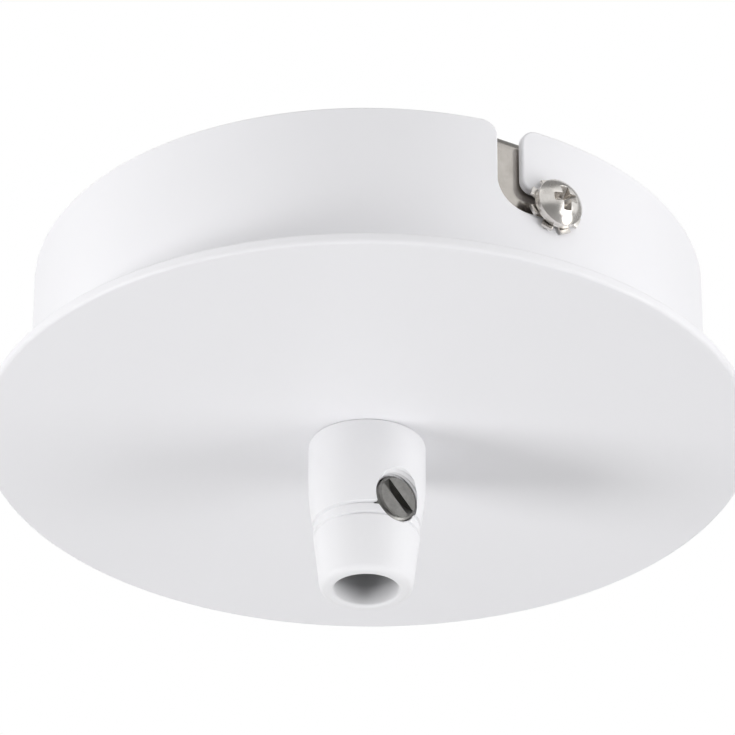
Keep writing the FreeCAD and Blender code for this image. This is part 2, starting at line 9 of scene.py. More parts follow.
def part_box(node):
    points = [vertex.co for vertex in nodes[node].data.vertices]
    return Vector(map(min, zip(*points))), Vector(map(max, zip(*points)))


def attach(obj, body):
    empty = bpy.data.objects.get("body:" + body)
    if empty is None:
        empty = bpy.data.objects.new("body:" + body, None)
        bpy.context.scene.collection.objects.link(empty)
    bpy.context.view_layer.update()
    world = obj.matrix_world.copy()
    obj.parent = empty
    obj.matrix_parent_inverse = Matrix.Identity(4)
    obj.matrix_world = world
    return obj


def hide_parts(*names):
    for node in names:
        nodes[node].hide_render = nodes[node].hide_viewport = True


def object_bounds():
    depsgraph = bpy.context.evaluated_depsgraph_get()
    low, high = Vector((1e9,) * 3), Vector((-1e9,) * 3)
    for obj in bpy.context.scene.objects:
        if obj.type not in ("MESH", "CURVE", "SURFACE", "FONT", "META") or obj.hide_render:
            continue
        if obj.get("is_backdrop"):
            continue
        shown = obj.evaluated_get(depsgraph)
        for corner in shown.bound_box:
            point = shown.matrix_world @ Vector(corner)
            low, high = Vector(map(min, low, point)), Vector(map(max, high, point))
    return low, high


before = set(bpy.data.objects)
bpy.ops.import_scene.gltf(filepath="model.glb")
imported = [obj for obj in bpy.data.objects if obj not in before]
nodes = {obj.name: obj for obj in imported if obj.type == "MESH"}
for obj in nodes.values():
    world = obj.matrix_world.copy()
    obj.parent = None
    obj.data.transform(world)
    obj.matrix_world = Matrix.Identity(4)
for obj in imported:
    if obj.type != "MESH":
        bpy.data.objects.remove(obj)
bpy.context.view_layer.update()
mm = 0.001


# Ceiling bracket. A steel strap, punched and with both ends bent down, then nickel plated bright.
# It is screwed to the ceiling and carries everything else; its edges are left soft by the barrel.
def wire(tree, *links):
    """Joins (node, output) to (node, input) pairs in a node tree."""
    for source, out_name, target, in_name in links:
        tree.links.new(source.outputs[out_name], target.inputs[in_name])


def put(tree, kind, **values):
    """New node with its properties and its input values set by name or number."""
    node = tree.nodes.new(kind)
    for key, value in values.items():
        if key == "inputs":
            for name, setting in value.items():
                node.inputs[name].default_value = setting
        else:
            setattr(node, key, value)
    return node


def shader_group(name, inputs, outputs):
    """Empty shader node group with float inputs (name, value) and outputs (name, socket type)."""
    tree = bpy.data.node_groups.new(name, "ShaderNodeTree")
    for label, value in inputs:
        socket = tree.interface.new_socket(label, in_out="INPUT", socket_type="NodeSocketFloat")
        socket.default_value = value
    for label, kind in outputs:
        tree.interface.new_socket(label, in_out="OUTPUT", socket_type=kind)
    return tree, tree.nodes.new("NodeGroupInput"), tree.nodes.new("NodeGroupOutput")


def haze_group():
    """Cloudy unevenness of a finish: a soft mask in patches, broken up by a finer one."""
    fine_ratio, fine_share = 6.5, 0.3
    tree, given, gives = shader_group(
        "uneven_haze", [("Patch Scale", 120.0), ("Contrast", 1.0)], [("Mask", "NodeSocketFloat")]
    )
    place = put(tree, "ShaderNodeTexCoord")
    broad = put(tree, "ShaderNodeTexNoise", inputs={"Detail": 3.0, "Roughness": 0.55})
    fine_scale = put(tree, "ShaderNodeMath", operation="MULTIPLY", inputs={1: fine_ratio})
    fine = put(tree, "ShaderNodeTexNoise", inputs={"Detail": 2.0, "Roughness": 0.5})
    mixed = put(tree, "ShaderNodeMath", operation="MULTIPLY_ADD", inputs={1: fine_share})
    centred = put(tree, "ShaderNodeMath", operation="SUBTRACT", inputs={1: (1 + fine_share) / 2})
    spread = put(tree, "ShaderNodeMath", operation="MULTIPLY_ADD", inputs={2: 0.5}, use_clamp=True)
    wire(
        tree,
        (place, "Object", broad, "Vector"), (place, "Object", fine, "Vector"),
        (given, "Patch Scale", broad, "Scale"), (given, "Patch Scale", fine_scale, 0),
        (fine_scale, 0, fine, "Scale"), (fine, 0, mixed, 0), (broad, 0, mixed, 2),
        (mixed, 0, centred, 0), (centred, 0, spread, 0), (given, "Contrast", spread, 1),
        (spread, 0, gives, "Mask"),
    )
    return tree


def rubbed_group():
    """Faint random hair lines from handling and from the barrel: a height for a bump."""
    line_stretch = (1.0, 0.04, 1.0)
    line_turns = ((0.3, 0.2, 0.5), (1.4, 0.7, 2.1), (2.3, 1.9, 0.9))
    tree, given, gives = shader_group("hair_lines", [("Scale", 900.0)], [("Height", "NodeSocketFloat")])
    place = put(tree, "ShaderNodeTexCoord")
    total = None
    for turn in line_turns:
        lean = put(tree, "ShaderNodeMapping", inputs={"Rotation": turn, "Scale": line_stretch})
        lines = put(tree, "ShaderNodeTexNoise", inputs={"Detail": 2.0, "Roughness": 0.7})
        wire(
            tree,
            (place, "Object", lean, "Vector"), (lean, 0, lines, "Vector"), (given, "Scale", lines, "Scale"),
        )
        if total is None:
            total = lines
        else:
            joined = put(tree, "ShaderNodeMath", operation="MINIMUM")
            wire(tree, (total, 0, joined, 0), (lines, 0, joined, 1))
            total = joined
    wire(tree, (total, 0, gives, "Height"))
    return tree


uneven_haze = haze_group()
hair_lines = rubbed_group()


def bare_finish(name):
    """New material, its node tree and its shader."""
    material = bpy.data.materials.new(name)
    material.use_nodes = True
    return material, material.node_tree, material.node_tree.nodes["Principled BSDF"]


def metal_finish(name, bright, dull, smooth, rough, haze_scale, line_scale, line_depth):
    """Metal whose colour and roughness drift between a bright and a dull state, with hair lines."""
    material, tree, shader = bare_finish(name)
    shader.inputs["Metallic"].default_value = 1.0
    haze = put(
        tree, "ShaderNodeGroup", node_tree=uneven_haze, inputs={"Patch Scale": haze_scale, "Contrast": 2.2}
    )
    colour = put(tree, "ShaderNodeMix", data_type="RGBA", inputs={6: (*bright, 1), 7: (*dull, 1)})
    gloss = put(tree, "ShaderNodeMapRange", inputs={"To Min": smooth, "To Max": rough})
    lines = put(tree, "ShaderNodeGroup", node_tree=hair_lines, inputs={"Scale": line_scale})
    bump = put(tree, "ShaderNodeBump", inputs={"Strength": 0.25, "Distance": line_depth})
    wire(
        tree,
        (haze, "Mask", colour, 0), (colour, 2, shader, "Base Color"),
        (haze, "Mask", gloss, "Value"), (gloss, 0, shader, "Roughness"),
        (lines, "Height", bump, "Height"), (bump, "Normal", shader, "Normal"),
    )
    return material


def set_out(name, data):
    """New object in the scene, at the origin."""
    item = bpy.data.objects.new(name, data)
    bpy.context.collection.objects.link(item)
    return item


def placed(name, mesh, material, body, slot, *replaced):
    """Finished piece at the origin: shown in place of CAD nodes and carried by a body."""
    mesh.materials.clear()
    mesh.materials.append(material)
    piece = set_out(name, mesh)
    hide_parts(*replaced)
    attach(piece, body)


def meshed(work, name):
    """Plain mesh of a worked shape, which is let go."""
    mesh = bpy.data.meshes.new(name)
    work.to_mesh(mesh)
    work.free()
    return mesh


def evened(mesh):
    """Same mesh, smooth shaded, each corner turned the way the largest flat that meets there faces."""
    same_flat = 0.99999
    work = bmesh.new()
    work.from_mesh(mesh)
    work.normal_update()
    flat_of, sizes = {}, []
    for first in work.faces:
        if first in flat_of:
            continue
        flat_of[first] = len(sizes)
        waiting, size = [first], 0.0
        while waiting:
            face = waiting.pop()
            size += face.calc_area()
            for other in (near for edge in face.edges for near in edge.link_faces):
                if other not in flat_of and other.normal.dot(first.normal) > same_flat:
                    flat_of[other] = len(sizes)
                    waiting.append(other)
        sizes.append(size / mm**2)
    ways = []
    for corner in work.verts:
        meeting = {flat_of[face]: face.normal for face in corner.link_faces}
        ways.append(sum((sizes[k] ** 2 * way for k, way in meeting.items()), Vector()).normalized())
    work.free()
    mesh.shade_smooth()
    mesh.normals_split_custom_set_from_vertices(ways)
    return mesh


def softened(node, width):
    """Copy of a CAD node's mesh, merged, with every sharp edge broken by a small round."""
    merge_reach, flat_angle, sharp_angle = 0.0005 * mm, math.radians(0.4), math.radians(25.0)
    work = bmesh.new()
    work.from_mesh(nodes[node].data)
    bmesh.ops.remove_doubles(work, verts=work.verts, dist=merge_reach)
    bmesh.ops.dissolve_limit(work, angle_limit=flat_angle, verts=work.verts, edges=work.edges)
    sharp = [e for e in work.edges if e.is_manifold and e.calc_face_angle() > sharp_angle]
    bmesh.ops.bevel(
        work, geom=sharp, offset=width, segments=2, profile=0.5, affect="EDGES", clamp_overlap=True
    )
    bmesh.ops.triangulate(work, faces=[f for f in work.faces if len(f.verts) > 4])
    return evened(meshed(work, node + "_soft"))


nickel = metal_finish(
    "bright_nickel", bright=(0.585, 0.556, 0.52), dull=(0.485, 0.456, 0.42), smooth=0.15, rough=0.26,
    haze_scale=260.0, line_scale=1400.0, line_depth=0.004 * mm,
)


def hugging(mesh):
    """Strap whose end tabs, flat as cut, are bowed to lie along the inside of the drum."""
    reach, half_tab, bend = 42.55 * mm, 7.0 * mm, 3.0 * mm
    flat = math.sqrt(reach**2 - half_tab**2)
    work = bmesh.new()
    work.from_mesh(mesh)
    # cuts a millimetre apart across the tabs let them bow
    for line in range(-6, 7):
        whole = work.verts[:] + work.edges[:] + work.faces[:]
        bmesh.ops.bisect_plane(work, geom=whole, plane_co=(0, line * mm, 0), plane_no=(0, 1, 0))
    for corner in work.verts:
        if abs(corner.co.x) > flat - 2 * bend and abs(corner.co.y) < half_tab:
            share = min(max(-corner.co.z / bend, 0.0), 1.0)
            bow = math.sqrt(reach**2 - corner.co.y**2) - flat
            corner.co.x += math.copysign(bow * share * share * (3 - 2 * share), corner.co.x)
    work.to_mesh(mesh)
    work.free()
    return evened(mesh)


strap = hugging(softened("ceiling_bracket", 0.14 * mm))
placed("bracket_strap", strap, nickel, "bracket", "bright_nickel", "ceiling_bracket")


# Terminal block. One white moulding holds three brass sleeves, each with two slotted clamp screws
# in a tower, and two zinc-plated screws fix it under the strap.
plastic, tree, shader = bare_finish("terminal_plastic")
shader.inputs["Subsurface Weight"].default_value = 0.25
shader.inputs["Subsurface Radius"].default_value = (0.6, 0.55, 0.5)
shader.inputs["Subsurface Scale"].default_value = 1.2 * mm
haze = put(tree, "ShaderNodeGroup", node_tree=uneven_haze, inputs={"Patch Scale": 160.0, "Contrast": 1.6})
fresh, aged = (0.80, 0.80, 0.775, 1), (0.74, 0.735, 0.70, 1)
tint = put(tree, "ShaderNodeMix", data_type="RGBA", inputs={6: fresh, 7: aged})
gloss = put(tree, "ShaderNodeMapRange", inputs={"To Min": 0.30, "To Max": 0.42})
spark = put(tree, "ShaderNodeTexNoise", inputs={"Scale": 2600.0, "Detail": 2.0})
where = put(tree, "ShaderNodeTexCoord")
bump = put(tree, "ShaderNodeBump", inputs={"Strength": 0.12, "Distance": 0.02 * mm})
wire(
    tree,
    (haze, "Mask", tint, 0), (tint, 2, shader, "Base Color"), (haze, "Mask", gloss, "Value"),
    (gloss, 0, shader, "Roughness"), (where, "Object", spark, "Vector"), (spark, 0, bump, "Height"),
    (bump, "Normal", shader, "Normal"),
)
housing = softened("terminal_housing", 0.22 * mm)
placed("terminal_moulding", housing, plastic, "bracket", "terminal_plastic", "terminal_housing")

brass = metal_finish(
    "brass", bright=(0.80, 0.60, 0.29), dull=(0.60, 0.42, 0.18), smooth=0.16, rough=0.34,
    haze_scale=300.0, line_scale=1500.0, line_depth=0.005 * mm,
)
zinc = metal_finish(
    "zinc_steel", bright=(0.66, 0.67, 0.69), dull=(0.47, 0.48, 0.50), smooth=0.2, rough=0.42,
    haze_scale=420.0, line_scale=1300.0, line_depth=0.006 * mm,
)


def shape_tree(name, sizes, counts):
    """Empty geometry tree with named inputs for its sizes, its counts and its finish."""
    tree = bpy.data.node_groups.new(name, "GeometryNodeTree")
    for kind, inputs in (("NodeSocketFloat", sizes), ("NodeSocketInt", counts)):
        for label, value in inputs:
            tree.interface.new_socket(label, in_out="INPUT", socket_type=kind).default_value = value
    tree.interface.new_socket("Finish", in_out="INPUT", socket_type="NodeSocketMaterial")
    tree.interface.new_socket("Geometry", in_out="OUTPUT", socket_type="NodeSocketGeometry")
    return tree, tree.nodes.new("NodeGroupInput"), tree.nodes.new("NodeGroupOutput")


def thread_tree():
    """Rule for a threaded shank: a closed cylinder along Z whose radius follows a helical ridge."""
    tree, given, gives = shape_tree(
        "threaded_shank",
        [
            ("Radius", 1.5 * mm), ("Ridge Depth", 0.28 * mm), ("Pitch", 0.5 * mm), ("Length", 8.0 * mm),
            ("End Chamfer", 0.3 * mm),
        ],
        [("Sides", 40), ("Rows", 120)],
    )
    crest_end, root_start = 0.04, 0.44
    blank = put(tree, "GeometryNodeMeshCylinder", fill_type="NGON", inputs={"Radius": 1.0})
    point = put(tree, "GeometryNodeInputPosition")
    parts = put(tree, "ShaderNodeSeparateXYZ")
    angle = put(tree, "ShaderNodeMath", operation="ARCTAN2")
    turn = put(tree, "ShaderNodeMath", operation="DIVIDE", inputs={1: 2 * math.pi})
    climb = put(tree, "ShaderNodeMath", operation="DIVIDE")
    phase = put(tree, "ShaderNodeMath", operation="SUBTRACT")
    cycle = put(tree, "ShaderNodeMath", operation="FRACT")
    centre = put(tree, "ShaderNodeMath", operation="SUBTRACT", inputs={1: 0.5})
    flank = put(tree, "ShaderNodeMath", operation="ABSOLUTE")
    shape = put(
        tree, "ShaderNodeMapRange", interpolation_type="SMOOTHSTEP",
        inputs={"From Min": crest_end, "From Max": root_start, "To Min": 0.0, "To Max": 1.0},
    )
    cut = put(tree, "ShaderNodeMath", operation="MULTIPLY")
    ridge = put(tree, "ShaderNodeMath", operation="SUBTRACT")
    half = put(tree, "ShaderNodeMath", operation="MULTIPLY", inputs={1: 0.5})
    height = put(tree, "ShaderNodeMath", operation="ABSOLUTE")
    from_end = put(tree, "ShaderNodeMath", operation="SUBTRACT")
    end_radius = put(tree, "ShaderNodeMath", operation="SUBTRACT")
    cone = put(tree, "ShaderNodeMath", operation="ADD")
    radius = put(tree, "ShaderNodeMath", operation="MINIMUM")
    out_x = put(tree, "ShaderNodeMath", operation="MULTIPLY")
    out_y = put(tree, "ShaderNodeMath", operation="MULTIPLY")
    moved = put(tree, "ShaderNodeCombineXYZ")
    formed = put(tree, "GeometryNodeSetPosition")
    real = put(tree, "GeometryNodeRealizeInstances")
    finish = put(tree, "GeometryNodeSetMaterial")
    wire(
        tree,
        (given, "Sides", blank, "Vertices"), (given, "Rows", blank, "Side Segments"),
        (given, "Length", blank, "Depth"), (point, 0, parts, 0),
        (parts, "Y", angle, 0), (parts, "X", angle, 1), (angle, 0, turn, 0),
        (parts, "Z", climb, 0), (given, "Pitch", climb, 1), (climb, 0, phase, 0), (turn, 0, phase, 1),
        (phase, 0, cycle, 0), (cycle, 0, centre, 0), (centre, 0, flank, 0), (flank, 0, shape, "Value"),
        (shape, 0, cut, 0), (given, "Ridge Depth", cut, 1), (given, "Radius", ridge, 0), (cut, 0, ridge, 1),
        (given, "Length", half, 0), (parts, "Z", height, 0), (half, 0, from_end, 0), (height, 0, from_end, 1),
        (given, "Radius", end_radius, 0), (given, "End Chamfer", end_radius, 1),
        (end_radius, 0, cone, 0), (from_end, 0, cone, 1), (ridge, 0, radius, 0), (cone, 0, radius, 1),
        (parts, "X", out_x, 0), (radius, 0, out_x, 1), (parts, "Y", out_y, 0), (radius, 0, out_y, 1),
        (out_x, 0, moved, "X"), (out_y, 0, moved, "Y"), (parts, "Z", moved, "Z"),
        (blank, "Mesh", formed, "Geometry"), (moved, 0, formed, "Position"),
        (formed, 0, real, 0), (real, 0, finish, "Geometry"), (given, "Finish", finish, "Material"),
        (finish, 0, gives, "Geometry"),
    )
    return tree


def grown(tree, name, **settings):
    """Plain mesh that a geometry tree gives for the named input values."""
    holder = set_out(name, bpy.data.meshes.new(name))
    rule = holder.modifiers.new(name, "NODES")
    rule.node_group = tree
    sockets = {s.name: s.identifier for s in tree.interface.items_tree if s.in_out == "INPUT"}
    for label, value in settings.items():
        rule[sockets[label.replace("_", " ").title()]] = value
    mesh = bpy.data.meshes.new_from_object(holder.evaluated_get(bpy.context.evaluated_depsgraph_get()))
    holder.modifiers.remove(rule)
    bpy.data.objects.remove(holder)
    return mesh


def without(mesh, *cutters):
    """Mesh with the cutter meshes taken away from it."""
    body = set_out("body", mesh)
    tools = [set_out("cutter", cutter) for cutter in cutters]
    for tool in tools:
        step = body.modifiers.new("cut", "BOOLEAN")
        step.operation = "DIFFERENCE"
        step.solver = "EXACT"
        step.object = tool
    result = bpy.data.meshes.new_from_object(body.evaluated_get(bpy.context.evaluated_depsgraph_get()))
    for item in [body] + tools:
        bpy.data.objects.remove(item)
    return result


def bar(size, centre):
    """Plain box mesh."""
    work = bmesh.new()
    bmesh.ops.create_cube(work, size=1.0)
    bmesh.ops.scale(work, vec=size, verts=work.verts)
    bmesh.ops.translate(work, vec=centre, verts=work.verts)
    return meshed(work, "bar")


def creased(mesh, angle=35.0):
    """Mesh shaded smooth, with edges past the angle left sharp."""
    mesh.shade_smooth()
    work = bmesh.new()
    work.from_mesh(mesh)
    for edge in work.edges:
        edge.smooth = not edge.is_manifold or edge.calc_face_angle(0.0) < math.radians(angle)
    work.to_mesh(mesh)
    work.free()
    return mesh


threaded_shank = thread_tree()
clamp_slot = (4.0 * mm, 0.5 * mm, 1.8 * mm)
for pole in ("live", "neutral", "earth"):
    sleeve = "terminal_sleeve_" + pole
    placed("brass_sleeve_" + pole, softened(sleeve, 0.1 * mm), brass, "bracket", "brass", sleeve)
    for side in ("supply", "flex"):
        node = "clamp_screw_" + pole + "_" + side
        low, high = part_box(node)
        length = high.z - low.z
        screw = grown(
            threaded_shank, node, radius=1.25 * mm, ridge_depth=0.24 * mm, pitch=0.45 * mm,
            length=length, end_chamfer=0.28 * mm, sides=32, rows=100, finish=zinc,
        )
        screw = without(screw, bar(clamp_slot, (0, 0, -length / 2)))
        screw.transform(Matrix.Translation((low + high) / 2))
        placed("clamp_" + pole + "_" + side, creased(screw), zinc, node, "zinc_steel", node)
for side in ("right", "left"):
    node = "fixing_screw_" + side
    placed("fixing_" + side, softened(node, 0.16 * mm), zinc, "bracket", "zinc_steel", node)


# Earth terminal. A brass screw with a cupped brass washer in a tapped collar of the strap; the
# washer's turned rim holds the earth wire under the head.
for node in ("earth_screw", "earth_washer"):
    placed(node + "_brass", softened(node, 0.15 * mm), brass, "bracket", "brass", node)


# Canopy cup. A drawn steel drum, open to the ceiling, with two J-shaped bayonet slots cut in from
# the rim. White baked paint rounds every edge and leaves a very fine skin.
def skin_group():
    """Painted skin: a fine orange peel for a bump, and a slow drift in tone."""
    tree, given, gives = shader_group(
        "paint_skin", [("Peel Scale", 1500.0), ("Drift Scale", 45.0)],
        [("Height", "NodeSocketFloat"), ("Drift", "NodeSocketFloat")],
    )
    place = put(tree, "ShaderNodeTexCoord")
    peel = put(tree, "ShaderNodeTexNoise", inputs={"Detail": 2.0, "Roughness": 0.45})
    wide = put(tree, "ShaderNodeTexNoise", inputs={"Detail": 2.0, "Roughness": 0.5})
    wire(
        tree,
        (place, "Object", peel, "Vector"), (place, "Object", wide, "Vector"),
        (given, "Peel Scale", peel, "Scale"), (given, "Drift Scale", wide, "Scale"),
        (peel, 0, gives, "Height"), (wide, 0, gives, "Drift"),
    )
    return tree


paint_skin = skin_group()


def white_finish(name, light, dim, smooth, rough, peel_scale, peel_depth):
    """White paint or moulding: satin, with a faint peel and a slow drift of tone and gloss."""
    material, tree, shader = bare_finish(name)
    skin = put(tree, "ShaderNodeGroup", node_tree=paint_skin, inputs={"Peel Scale": peel_scale})
    colour = put(tree, "ShaderNodeMix", data_type="RGBA", inputs={6: (*light, 1), 7: (*dim, 1)})
    gloss = put(tree, "ShaderNodeMapRange", inputs={"To Min": smooth, "To Max": rough})
    bump = put(tree, "ShaderNodeBump", inputs={"Strength": 0.2, "Distance": peel_depth})
    wire(
        tree,
        (skin, "Drift", colour, 0), (colour, 2, shader, "Base Color"),
        (skin, "Drift", gloss, "Value"), (gloss, 0, shader, "Roughness"),
        (skin, "Height", bump, "Height"), (bump, "Normal", shader, "Normal"),
    )
    return material


def filleted(corners, steps):
    """Closed outline of (radius, height) points from corners (radius, height, round)."""
    outline = []
    for index, (r, z, fillet) in enumerate(corners):
        here = Vector((r, z))
        if fillet == 0:
            outline.append(here)
            continue
        back = (Vector(corners[index - 1][:2]) - here).normalized()
        ahead = (Vector(corners[(index + 1) % len(corners)][:2]) - here).normalized()
        half = back.angle(ahead) / 2
        centre = here + (back + ahead).normalized() * (fillet / math.sin(half))
        start = here + back * (fillet / math.tan(half)) - centre
        end = here + ahead * (fillet / math.tan(half)) - centre
        sweep = math.pi - 2 * half
        if start.x * end.y - start.y * end.x < 0:
            sweep = -sweep
        for step in range(steps + 1):
            angle = sweep * step / steps
            outline.append(centre + Matrix.Rotation(angle, 2) @ start)
    return outline


def turned(name, outline, columns, closed=True):
    """Mesh turned about Z from (radius, height) points; an open outline leaves its ends open."""
    pole_reach = 1e-7
    work = bmesh.new()
    rings = []
    for column in range(columns):
        angle = 2 * math.pi * column / columns
        rings.append([work.verts.new((p.x * math.cos(angle), p.x * math.sin(angle), p.y)) for p in outline])
    last = len(outline) if closed else len(outline) - 1
    for column in range(columns):
        a, b = rings[column], rings[(column + 1) % columns]
        for row in range(last):
            after = (row + 1) % len(outline)
            work.faces.new((a[row], b[row], b[after], a[after]))
    if closed:
        bmesh.ops.remove_doubles(work, verts=work.verts, dist=pole_reach)
        bmesh.ops.recalc_face_normals(work, faces=work.faces)
    return meshed(work, name)


cup_radius = 44.0 * mm
cup_wall = 1.2 * mm
cup_rim = -0.05 * mm
cup_floor = -22.25 * mm
cup_corner = 1.8 * mm
cup_inner_corner = 0.6 * mm
cup_columns = 256
cup_edge_round = 0.3 * mm
cup_edge_steps = 5
cup_seam = math.radians(90)
clamp_hole = 5.1 * mm
hole_round = 0.1 * mm
corner_steps = 8

slot_width = 3.35 * mm
slot_drop = -10.8 * mm
slot_twist = math.radians(7.8)


def slot_outline():
    """One J slot as (angle from the side screw, height), from its left rim corner to its right one."""
    half = slot_width / 2
    shift = cup_radius * math.sin(slot_twist / 2)
    left, right = -shift - half, -shift + half
    low, high = slot_drop - half, slot_drop + half

    def bend(centre, radius, start, end, steps):
        points = []
        for step in range(steps + 1):
            angle = math.radians(start + (end - start) * step / steps)
            points.append((centre[0] + radius * math.cos(angle), centre[1] + radius * math.sin(angle)))
        return points

    entry, run, outer, inner = 2.0 * mm, 2.2 * mm, 4.3 * mm, 1.6 * mm
    points = bend((left - entry, cup_rim - entry), entry, 90, 0, 10)
    points += bend((left + outer, low + outer), outer, 180, 270, 14)
    points += bend((shift, slot_drop), half, -90, 90, 18)
    points += bend((right + inner, high + inner), inner, 270, 180, 8)
    points += bend((right + run, cup_rim - run), run, 180, 90, 8)
    return [(math.asin(u / cup_radius) - slot_twist / 2, z) for u, z in points]


def cup_shell():
    """The wall as a flat strip with both slots, rounded along its cut edges, rolled up on the floor pan."""
    base = cup_floor + cup_corner
    seam, turn = cup_seam * cup_radius, 2 * math.pi * cup_radius
    column_width = turn / cup_columns
    edge = [(seam, cup_rim)]
    for at in (math.pi, 2 * math.pi):
        edge += [((at + angle) * cup_radius, z) for angle, z in slot_outline()]
    edge = [Vector(p) for p in edge + [(seam + turn, cup_rim)]]
    # the line where the rounding of the cut edge begins, and the way from it out to the cut edge
    bounds = []
    for index, here in enumerate(edge):
        before = (here - edge[index - 1]).normalized() if index else Vector((1, 0))
        after = (edge[index + 1] - here).normalized() if index + 1 < len(edge) else Vector((1, 0))
        along = (before + after).normalized()
        outward = Vector((-along.y, along.x)) / along.dot(before)
        bounds.append((here - outward * cup_edge_round, outward))
    # that line gets a point wherever the strip bends
    slack, upright, near_end = 1e-6, 1e-9, 1e-3
    rim_line = [bounds[0]]
    for (a, way_a), (b, way_b) in zip(bounds, bounds[1:]):
        first, last = sorted(((a.x - seam) / column_width, (b.x - seam) / column_width))
        shares = [
            (seam + k * column_width - a.x) / (b.x - a.x)
            for k in range(math.ceil(first - slack), math.floor(last + slack) + 1)
            if abs(b.x - a.x) > upright
        ]
        for share in sorted(t for t in shares if near_end < t < 1 - near_end):
            rim_line.append((a.lerp(b, share), way_a.lerp(way_b, share)))
        rim_line.append((b, way_b))
    work = bmesh.new()

    def rolled(u, z, depth):
        angle, radius = u / cup_radius, cup_radius - depth
        return work.verts.new((radius * math.cos(angle), radius * math.sin(angle), z))

    rings = []
    for step in range(2 * cup_edge_steps + 2):
        back = step > cup_edge_steps
        angle = math.pi / 2 * (step - (cup_edge_steps + 1 if back else 0)) / cup_edge_steps
        reach = cup_edge_round * (math.cos(angle) if back else math.sin(angle))
        depth = cup_edge_round * (1 - math.cos(angle))
        if back:
            depth = cup_wall - cup_edge_round * (1 - math.sin(angle))
        rings.append([rolled(p.x + way.x * reach, p.y + way.y * reach, depth) for p, way in rim_line])
    for upper, lower in zip(rings, rings[1:]):
        for index in range(len(rim_line) - 1):
            work.faces.new((upper[index], upper[index + 1], lower[index + 1], lower[index]))
    # both flat sides, cut into columns
    points = [p / mm for p, way in rim_line]
    points += [Vector((seam + turn - k * column_width, base)) / mm for k in range(cup_columns + 1)]
    outline = list(reversed(range(len(points))))
    columns = []
    for k in range(1, cup_columns):
        columns.append((len(points), len(points) + 1))
        u = (seam + k * column_width) / mm
        points += [Vector((u, base / mm)), Vector((u, (cup_rim + mm) / mm))]
    keep_inside, point_reach = 1, 1e-5
    flat, _, faces, _, _, within = delaunay_2d_cdt(points, columns, [outline], keep_inside, point_reach)
    for depth in (0, cup_wall):
        corners = [rolled(p.x * mm, p.y * mm, depth) for p in flat]
        for face, owner in zip(faces, within):
            if owner:
                work.faces.new([corners[i] for i in face])
    wall = meshed(work, "cup_wall")
    inside = cup_radius - cup_wall
    pan_top = cup_floor + cup_wall
    # the last corner only gives the way up: the round before it already ends there
    outline = filleted(
        [
            (inside, base, 0), (inside, pan_top, cup_inner_corner), (clamp_hole, pan_top, hole_round),
            (clamp_hole, cup_floor, hole_round), (cup_radius, cup_floor, cup_corner), (cup_radius, base, 0),
        ],
        corner_steps,
    )[:-1]
    pan = turned("cup_pan", outline, cup_columns, closed=False)
    weld_reach = 0.004 * mm
    work = bmesh.new()
    work.from_mesh(wall)
    work.from_mesh(pan)
    bmesh.ops.remove_doubles(work, verts=work.verts, dist=weld_reach)
    bmesh.ops.delete(work, geom=[v for v in work.verts if not v.link_faces], context="VERTS")
    # the weld leaves a few slivers open
    bmesh.ops.holes_fill(work, edges=[edge for edge in work.edges if edge.is_boundary], sides=3)
    bmesh.ops.recalc_face_normals(work, faces=work.faces)
    return evened(meshed(work, "cup_shell"))


white_paint = white_finish(
    "white_paint", light=(0.86, 0.857, 0.878), dim=(0.838, 0.835, 0.857), smooth=0.38, rough=0.48,
    peel_scale=1900.0, peel_depth=0.012 * mm,
)
placed("drum_cup", cup_shell(), white_paint, "canopy", "white_paint", "canopy_cup")


# Cover disc. A flat steel plate a little wider than the drum, clamped to its floor by the nipple,
# with a softly rounded lower edge under the same white paint.
disc_radius = 50.0 * mm
disc_thickness = 1.5 * mm
disc_columns = 288
disc_top = cup_floor
disc_under = disc_top - disc_thickness
disc_outline = filleted(
    [
        (clamp_hole, disc_top, hole_round), (disc_radius, disc_top, 0.35 * mm),
        (disc_radius, disc_under, 0.5 * mm), (clamp_hole, disc_under, hole_round),
    ],
    corner_steps,
)
disc = evened(turned("disc_plate", disc_outline, disc_columns))
placed("disc_plate", disc, white_paint, "canopy", "white_paint", "cover_disc")


# Nipple, tooth washer, earth tag and nut. A zinc-plated threaded tube joins the grip, the disc and
# the drum; the nut clamps a tinned earth tag and a tooth washer against the drum's floor.
def rod(name, radius, length, sides):
    """Plain closed cylinder along Z."""
    work = bmesh.new()
    bmesh.ops.create_cone(work, cap_ends=True, segments=sides, radius1=radius, radius2=radius, depth=length)
    return meshed(work, name)


low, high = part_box("threaded_nipple")
nipple_length = high.z - low.z
nipple_bore = 3.7 * mm
nipple_sides = 72
rows_per_mm = 10
nipple = grown(
    threaded_shank, "nipple", radius=5.0 * mm, ridge_depth=0.5 * mm, pitch=1.0 * mm, length=nipple_length,
    end_chamfer=0.45 * mm, sides=nipple_sides, rows=int(nipple_length / mm * rows_per_mm), finish=zinc,
)
nipple = without(nipple, rod("nipple_bore", nipple_bore, nipple_length + 2 * mm, nipple_sides))
nipple.transform(Matrix.Translation((low + high) / 2))
placed("threaded_tube", creased(nipple, 40.0), zinc, "canopy", "zinc_steel", "threaded_nipple")


